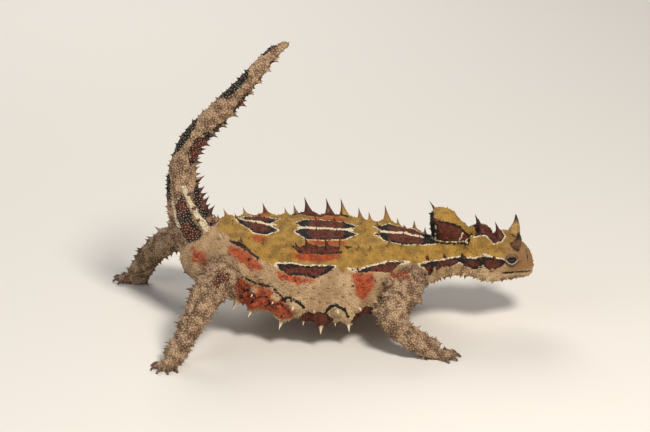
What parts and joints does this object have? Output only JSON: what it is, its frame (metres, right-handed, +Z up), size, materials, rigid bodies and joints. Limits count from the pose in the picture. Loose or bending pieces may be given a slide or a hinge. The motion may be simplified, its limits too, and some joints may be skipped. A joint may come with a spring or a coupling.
{
  "type": "thorny devil lizard model",
  "caption": "Life-size still model of a thorny devil lizard walking with its tail raised, covered in conical thorns, with a spiny neck knob and brow horns.",
  "frame": {"origin": "middle of the footprint of the bounding box, on the floor under the feet", "axes": "+X towards the head, +Y the animal's left, +Z up"},
  "size_m": [0.123, 0.076, 0.0844],
  "materials": {
    "body_skin": "matte scaly skin, ochre with dark red-brown blotches edged black and cream",
    "head_skin": "matte scaly skin, olive tan",
    "knob_skin": "matte scaly skin, red-brown under an olive top",
    "tail_skin": "matte scaly skin, pale grey buff with dark bars",
    "limb_skin": "matte scaly skin, pale grey buff",
    "thorn": "satin keratin over skin, pale or red-brown by the marking under it",
    "horn": "satin keratin, olive with a dark tip",
    "claw": "satin dark keratin",
    "eye": "wet gloss"
  },
  "bodies": {
    "root": {"torso": "body_skin", "neck": "body_skin", "head": "head_skin", "neck_knob": "knob_skin", "tail_base": "tail_skin", "tail_middle": "tail_skin", "tail_tip": "tail_skin", "horn_left": "horn", "horn_right": "horn", "eye_left": "eye", "eye_right": "eye", "upper_arm_left": "limb_skin", "forearm_left": "limb_skin", "hand_left": "limb_skin", "upper_arm_right": "limb_skin", "forearm_right": "limb_skin", "hand_right": "limb_skin", "thigh_left": "limb_skin", "shin_left": "limb_skin", "foot_left": "limb_skin", "thigh_right": "limb_skin", "shin_right": "limb_skin", "foot_right": "limb_skin"}
  },
  "joints": []
}
